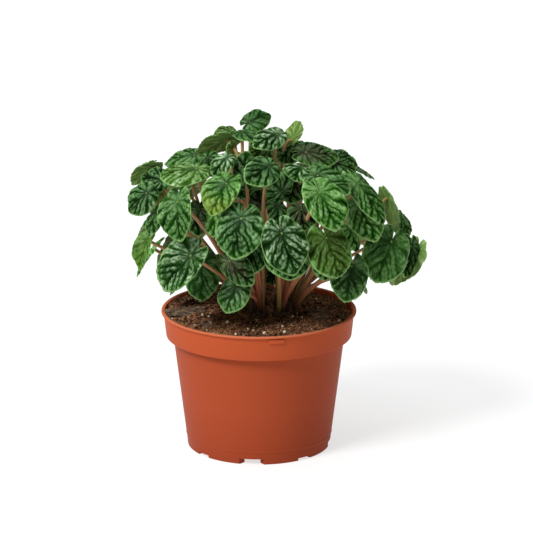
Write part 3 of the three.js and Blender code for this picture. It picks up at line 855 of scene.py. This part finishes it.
# How each kind of leaf looks: light, painted sheen, plum and gold shares, and how deep its puckers are
leafKinds = {
    "plain": (0.05, 0.15, 0, 0, 1),
    "light": (0.75, 0.35, 0, 0, 1),
    "pale": (0.4, 0.6, 0, 0.08, 0.9),
    "young": (0.5, 0.2, 0, 0.12, 0.4),
    # much painted sheen on its puckers
    "paintedSheen": (0.15, 0.85, 0, 0, 1),
    "deep": (-0.1, 0.2, 0, 0, 1.2),
    "olive": (0.2, 0, 0.15, 0.1, 1),
    "yellow": (0.45, 0.1, 0, 0.1, 1),
    "dark": (0, 0.05, 0.1, 0, 0.9),
    "plum": (0, 0.1, 0.7, 0, 1.1),
    "smooth": (0.2, 0.12, 0, 0, 0.5),
    "dusky": (0, 0.3, 0.1, 0, 0.5),
    "fresh": (0.35, 0.2, 0, 0, 1.1),
    # painted light: for a leaf in its neighbour's shade, painted lighter to look lit
    "bright": (0.9, 0.6, 0, 0, 1.2),
    # grey-plum colour painted lighter, as painted light for a leaf in the shade
    "violet": (0.3, 0.5, 0.45, 0, 1),
    "crimson": (0.1, 0.15, 0, 0, 1),  # with a crimson stalk
}

bladeSizes = {
    "reach": 0.635,  # share of the leaf's length from the stalk's end to the edge at the sides
    "towardsTip": 0.27,  # added at the tip and taken off at the notch
    "crowding": 0.11,  # how much closer the points are at both
    "spread": 1.39,  # width of the outline before it is scaled to the leaf's own
    "thickness": 0.75,
    "softFold": 5,
    "ridgeLift": 1.3,
    "veinSink": 0.9,
    "pleat": 0.3,  # share of the ridges that a dressed blade keeps, as its veins take their place
    "belly": 0.55,  # where the pleats are deepest on the way to the edge
    "broadLeaf": 33,
    "lobeLifts": (0.3, 1.5),  # one lobe lies higher than the other
    "lobeWidth": 15,  # degrees
    "roll": 1.1,
    "ruffle": 0.5,
    "twist": 0.1,
    "edgePucker": 0.035,  # how far puckers and waves push the edge out, as shares
    "edgeWave": 0.014,
    "around": 108,
    "rowsUp": 32,
    "rowsUnder": 12,
    "underRelief": 0.85,
    "underDrop": 0.85,
}

# The bumps of a blade's outline: height as a share of the leaf's length, then place and width in degrees
# from the tip. They are the tip, its sharp end, the cheeks, the lobes and the notch.
edgeBumps = [(0.09, 0, 20), (0.025, 0, 8), (0.05, 42, 26), (0.05, 150, 25), (-0.33, 180, 9)]

veinSizes = {
    "lean": 40,  # degrees between the midrib and the veins that leave it
    "bend": 0.45,  # how far they bend towards the tip
    "step": 8.4,  # mm along the midrib from vein to vein
    "fan": 3.5,  # veins on each side that start at the stalk's end
    "warp": 2.2,  # mm that the veins stray
    "warpScale": 0.15,  # bends in a mm
    "uneven": 0.16,  # how much their spacing varies
    "sharp": 1.6,  # higher makes the grooves narrower
    "slope": 0.42,  # a pucker's height over the gap between two veins
    "highest": 2.3,  # mm
    "forkGaps": (3.5, 6),  # mm between veins from which they begin to fork, and all do
    "forkDepth": 0.5,
    "forkWidth": 0.75,
    "crossStep": 3.9,  # mm between cross veins
    "crossLean": 1.3,  # how far they slope back beside a vein
    "crossWidth": 0.7,
    "crossDepth": 0.4,
    "midribDepth": 0.9,
    "midribWidth": 0.8,
    "rough": 0.3,
    "calm": 0.55,  # share of the leaf's length that the puckers take to rise from the stalk's end
}

stalkSizes = {
    "footRadius": 1.95,
    "topRadius": 1.3,
    "sunk": 0.35,  # how far its end stays below the blade's middle
    "upright": 0.8,  # how it leaves the crown: up, and a little outwards
    "outwards": 0.35,
    "straight": 0.4,  # how it meets the blade: straight on, and from behind
    "behind": 0.8,
    "leave": 0.32,  # how far both ends keep their way, as shares of the stalk
    "arrive": 0.24,
    "around": 10,
    "steps": 16,
}


goldenShare = 0.6180339887
silverShare = 0.4142135624
plasticShare = 0.7548776662


# An even scatter from -1 to 1 that differs from leaf to leaf and from use to use
def scatter(index, use):
    return 2 * ((index * goldenShare + use * silverShare) % 1) - 1


def leavesOfBack():
    stray = backStray
    leaves = []
    for row in backRows:
        for i in range(row["leaves"]):
            index = len(leaves)
            step = (row["last"] - row["first"]) / (row["leaves"] - 1)
            turn = (row["first"] + i * step + stray["turn"] * scatter(index, 1)) * degree
            outward = Vector((math.sin(turn), -math.cos(turn), 0))
            junction = outward * (row["radius"] + stray["radius"] * scatter(index, 2))
            junction.x += domeCentre.x
            junction.z = row["height"] + stray["height"] * scatter(index, 3)
            pitch = (row["pitch"] + stray["pitch"] * scatter(index, 4)) * degree
            sideways = Vector((outward.y, -outward.x, 0))
            down = outward * math.cos(pitch) + sideways * stray["aside"] * scatter(index, 5)
            down.z = -math.sin(pitch)
            length = row["length"] + stray["length"] * scatter(index, 6)
            facing = outward * math.sin(pitch)
            facing.z = math.cos(pitch)
            kind = ("plain", "light", "dark", "plain", "paintedSheen")[index % 5]
            leaves.append(framedLeaf(junction, junction + down.normalized() * length, length * backWidth,
                                     facing, kind=kind))
    return leaves


def bell(value, width):
    return math.exp(-((value / width) ** 2))


# How far the edge is from the stalk's end, as a share of the leaf's length
def bladeReach(angle):
    fromTip = abs(angle) / degree
    bumps = sum(height * bell(fromTip - place, width) for height, place, width in edgeBumps)
    return bladeSizes["reach"] + bladeSizes["towardsTip"] * math.cos(angle) + bumps


# How high the blade is puckered there, as a share of the highest pucker and in mm. Veins leave the midrib
# and the stalk's end slantwise and bend towards the tip, and forks and cross veins split the puckers.
def puckering(leaf, along, aside):
    v = veinSizes
    shift = leaf["seed"] * 50
    radius = math.hypot(along, aside)
    stray = v["warp"] * smoothStep(1, 12, radius)
    along += stray * noise.noise(Vector((along * v["warpScale"], aside * v["warpScale"], shift)))
    aside += stray * noise.noise(Vector((along * v["warpScale"], aside * v["warpScale"], shift + 9)))
    across = abs(aside)
    lean = v["lean"] * degree
    bent = along - v["bend"] * across * across / leaf["width"]
    start = bent - across / math.tan(lean)  # where on the midrib the vein through here starts
    if start > 0:
        vein = start / v["step"]
        gap = v["step"] * math.sin(lean)
    else:
        turn = math.atan2(across, bent)
        vein = (lean - turn) / (math.pi - lean) * v["fan"]
        gap = (math.pi - lean) / v["fan"] * radius
    vein += v["uneven"] * math.sin(vein * 2.1 + (7 if aside > 0 else 4) * leaf["seed"] * 6)
    nearest = round(vein)
    off = vein - nearest
    height = 1 - (1 - 2 * abs(off)) ** v["sharp"]
    toFork = (0.5 - abs(off)) * gap + 0.5 * noise.noise(Vector((radius * 0.3, nearest, shift)))
    height *= 1 - v["forkDepth"] * smoothStep(*v["forkGaps"], gap) * bell(toFork, v["forkWidth"])
    if along > 0:
        height *= 1 - v["midribDepth"] * bell(across, v["midribWidth"])
    place = (radius - v["crossLean"] * min(abs(off) * gap, 4)) / v["crossStep"] + (0.5 if off > 0 else 0)
    place += 0.37 * nearest + (0.25 if aside > 0 else 0) + leaf["seed"]
    toCross = (place - round(place)) * v["crossStep"]
    height *= 1 - v["crossDepth"] * bell(toCross, v["crossWidth"]) * smoothStep(3, 7, radius)
    height *= 1 + v["rough"] * noise.noise(Vector((along * 0.5, aside * 0.5, shift + 20)))
    height = 0.6 + (height - 0.6) * (0.1 + 0.9 * smoothStep(0, v["calm"] * leaf["length"], radius))
    return height, min(v["slope"] * min(gap, 6), v["highest"])


def addBlade(bm, leaf, layers):
    s = bladeSizes
    ridges = 6 if leaf["width"] > s["broadLeaf"] else 5
    light, paintedSheen, plum, gold, depth = leafKinds[leaf["kind"]]
    seed = leaf["seed"]
    light = max(0, light + 0.15 * scatter(int(seed * 97), 7))
    middle = (s["ridgeLift"] - s["veinSink"]) / 2
    swing = (s["ridgeLift"] + s["veinSink"]) / 2
    twist = s["twist"] * scatter(int(seed * 89), 9)
    turns = []
    for turn in range(s["around"]):
        angle = (turn / s["around"] - 0.5) * fullTurn
        angle -= s["crowding"] * math.sin(2 * angle)
        lobe = s["lobeLifts"][angle > 0] * bell(180 - abs(angle) / degree, s["lobeWidth"])
        wave = math.sin(5 * angle + seed * 20) + 0.6 * math.sin(8 * angle - seed * 31)
        turns.append((angle, bladeReach(angle), math.cos(angle), math.sin(angle), lobe, wave))

    def place(turn, row):
        upper = row <= s["rowsUp"]
        share = row / s["rowsUp"] if upper else 1 - (row - s["rowsUp"]) / s["rowsUnder"]
        angle, reach, cosine, sine, lobe, wave = turns[turn]
        pucker, puckerHeight = puckering(leaf, share * reach * cosine * leaf["length"],
                                         share * reach * sine * leaf["width"] / s["spread"])
        reach *= 1 + (s["edgePucker"] * (pucker - 0.5) + s["edgeWave"] * wave) * share ** 4
        along = share * reach * cosine * leaf["length"]
        aside = share * reach * sine * leaf["width"] / s["spread"]
        inner = share < s["belly"]
        swell = math.sin(share / s["belly"] * math.pi / 2) if inner else 1 - (share - s["belly"]) / 0.9
        pleat = s["pleat"] * (middle - swing * math.cos(ridges * angle)) * swell
        bend = leaf["arch"] * along * along / leaf["length"]
        fold = math.tan(leaf["fold"]) * (math.hypot(aside, s["softFold"]) - s["softFold"])
        rolled = s["roll"] * share ** 8 - s["ruffle"] * wave * share ** 5
        rolled -= twist * along * aside / leaf["length"]
        crisp = depth * puckerHeight * (pucker - 0.45) * (1 - 0.5 * share ** 6)
        half = s["thickness"] / 2 * math.sqrt(max(0, 1 - share ** 14))
        if not upper:  # the under side follows the puckers, a little flatter
            crisp = s["underRelief"] * crisp - s["underDrop"] * (1 - share ** 4)
            half = -half
        lift = pleat + crisp + lobe * share * share - bend - fold - rolled + half
        point = leaf["junction"] + leaf["along"] * along + leaf["aside"] * aside + leaf["normal"] * lift
        ripe = gold * 4 * smoothStep(0.3, 1, share * max(0, cosine)) if leaf["kind"] == "yellow" else gold
        # lighter towards the rim: partly the blade's own paler edge, partly painted light
        paler = light + 0.3 * share ** 3  # towards the rim
        pucker = 0.48 + (pucker - 0.48) * min(1, depth + 0.1)
        return point, (pucker, share, paler, paintedSheen, plum, ripe)

    wrapGrid(bm, s["around"], s["rowsUp"] + s["rowsUnder"], place, layers,
             lambda row: 0 if row < s["rowsUp"] else 1)


def crownPlace(index):
    s = crownSizes
    turn = (index + 0.5) * fullTurn / s["count"]
    x = s["centre"][0] + s["circle"] * math.sin(turn)
    y = s["centre"][1] - s["circle"] * math.cos(turn)
    return Vector((x, y, soilHeight(x, y)))


def stalkLine(leaf, crown):
    s = stalkSizes
    end = leaf["junction"] - leaf["normal"] * s["sunk"]
    span = (end - crown).length
    outward = Vector((end.x - crown.x, end.y - crown.y, 0))
    spread = min(outward.length / 45 - 0.7, 0.75)  # far leaves start on the crown's outer side
    outward.normalize()
    start = crown + outward * crownSizes["radius"] * spread
    start.z += crownSizes["rise"] - 3 - 2 * spread
    rise = Vector((0, 0, s["upright"])) + outward * s["outwards"]
    inbound = (end - start).normalized() * s["straight"] + leaf["normal"] * s["behind"]
    leave = start + rise * span * s["leave"]
    arrive = end - inbound * span * s["arrive"]
    line = []
    for i in range(s["steps"] + 1):
        t = i / s["steps"]
        line.append(start * (1 - t) ** 3 + leave * 3 * t * (1 - t) ** 2
                    + arrive * 3 * t * t * (1 - t) + end * t ** 3)
    return line


def addStalk(bm, leaf, crown, layers):
    s = stalkSizes
    line = stalkLine(leaf, crown)
    radii = []
    for i in range(len(line)):
        t = i / s["steps"]
        radii.append(s["footRadius"] + (s["topRadius"] - s["footRadius"]) * smoothStep(0, 0.6, t))
    olive = max(0, scatter(int(leaf["seed"] * 131), 8)) * 0.8
    crimson = 0.8 if leaf["kind"] == "crimson" else 0
    addTube(bm, line, radii, s["around"], layers,
            lambda i: (0, i / s["steps"], 0, 0, crimson, olive), lambda row: 2)


# The short stem that a crown's stalks grow from, with the rings of old leaf scars
def addCrownStem(bm, place, layers):
    s = crownSizes
    steps = 14
    line = []
    radii = []
    for i in range(steps + 1):
        t = i / steps
        line.append(place + Vector((0, 0, -s["depth"] + t * (s["depth"] + s["rise"]))))
        radii.append(s["radius"] * (1 - 0.45 * t ** 6) * (1 + 0.05 * math.sin(7 * math.pi * t)))
    # the stem takes the stalks' darkest colour, the painted shade at their foot
    addTube(bm, line, radii, 20, layers, lambda i: (0, 0, 0, 0, 0, 0.1), lambda row: 2)


def crownIndexOf(leaf):
    if leaf["crown"] > 0:
        return leaf["crown"] - 1
    x, y = crownSizes["centre"]
    turn = math.atan2(leaf["junction"].x - x, y - leaf["junction"].y) / fullTurn
    return math.floor((turn % 1) * crownSizes["count"]) % crownSizes["count"]


def makeLeafyCrown(index, leaves):
    bm = bmesh.new()
    layers = [bm.verts.layers.float.new(name) for name in leafLayers]
    place = crownPlace(index)
    addCrownStem(bm, place, layers)
    for leaf in leaves:
        addBlade(bm, leaf, layers)
        addStalk(bm, leaf, place, layers)
    finishPiece(f"leafyCrown{index + 1}", bm, leafMaterials, [f"leafy_crown_{index + 1}"])


leaves = frontLeaves + leavesOfBack()
for i, leaf in enumerate(leaves):
    leaf["seed"] = (i * plasticShare) % 1
for index in range(crownSizes["count"]):
    makeLeafyCrown(index, [leaf for leaf in leaves if crownIndexOf(leaf) == index])


# Floor and light: a plain white floor that glows, a soft light from the front left and a wide one from
# above and behind

floorSettings = {
    "size": 8,  # metres
    "grey": 0.35,  # dull enough to show a soft shadow
    "glow": 0.68,
}

lightSettings = {
    "sky": 0.14,
    "lamps": [
        # name, strength, heading to the right of the front, height, softness, all three in degrees
        ("keyLight", 3.0, -45, 44, 22),
        ("topLight", 1.4, -150, 78, 70),
    ],
}


def makeFloor():
    bm = bmesh.new()
    bmesh.ops.create_grid(bm, x_segments=1, y_segments=1, size=floorSettings["size"])
    mesh = meshOf("floor", bm)
    material, shader = newMaterial("glowingWhiteAcrylic")
    setInputs(shader, {
        "Base Color": (*[floorSettings["grey"]] * 3, 1), "Emission Color": (1, 1, 1, 1),
        "Emission Strength": floorSettings["glow"], "Specular IOR Level": 0, "Roughness": 0.9})
    mesh.materials.append(material)
    floor = addItem("floor", mesh)


def addLamp(name, strength, heading, height, softness):
    lamp = bpy.data.lights.new(name, "SUN")
    lamp.energy = strength
    lamp.angle = softness * degree
    level = math.cos(height * degree)
    toLamp = Vector((level * math.sin(heading * degree), -level * math.cos(heading * degree),
                     math.sin(height * degree)))
    item = addItem(name, lamp)
    item.matrix_world = Matrix.Translation(toLamp) @ toLamp.to_track_quat("Z", "Y").to_matrix().to_4x4()


def makeLight():
    world = bpy.data.worlds.new("studio")
    world.use_nodes = True
    setInputs(world.node_tree.nodes["Background"], {
        "Color": (1, 1, 1, 1), "Strength": lightSettings["sky"]})
    bpy.context.scene.world = world
    for lamp in lightSettings["lamps"]:
        addLamp(*lamp)
    bpy.context.scene.view_settings.view_transform = "Standard"


makeFloor()
makeLight()
print("floor and light placed")
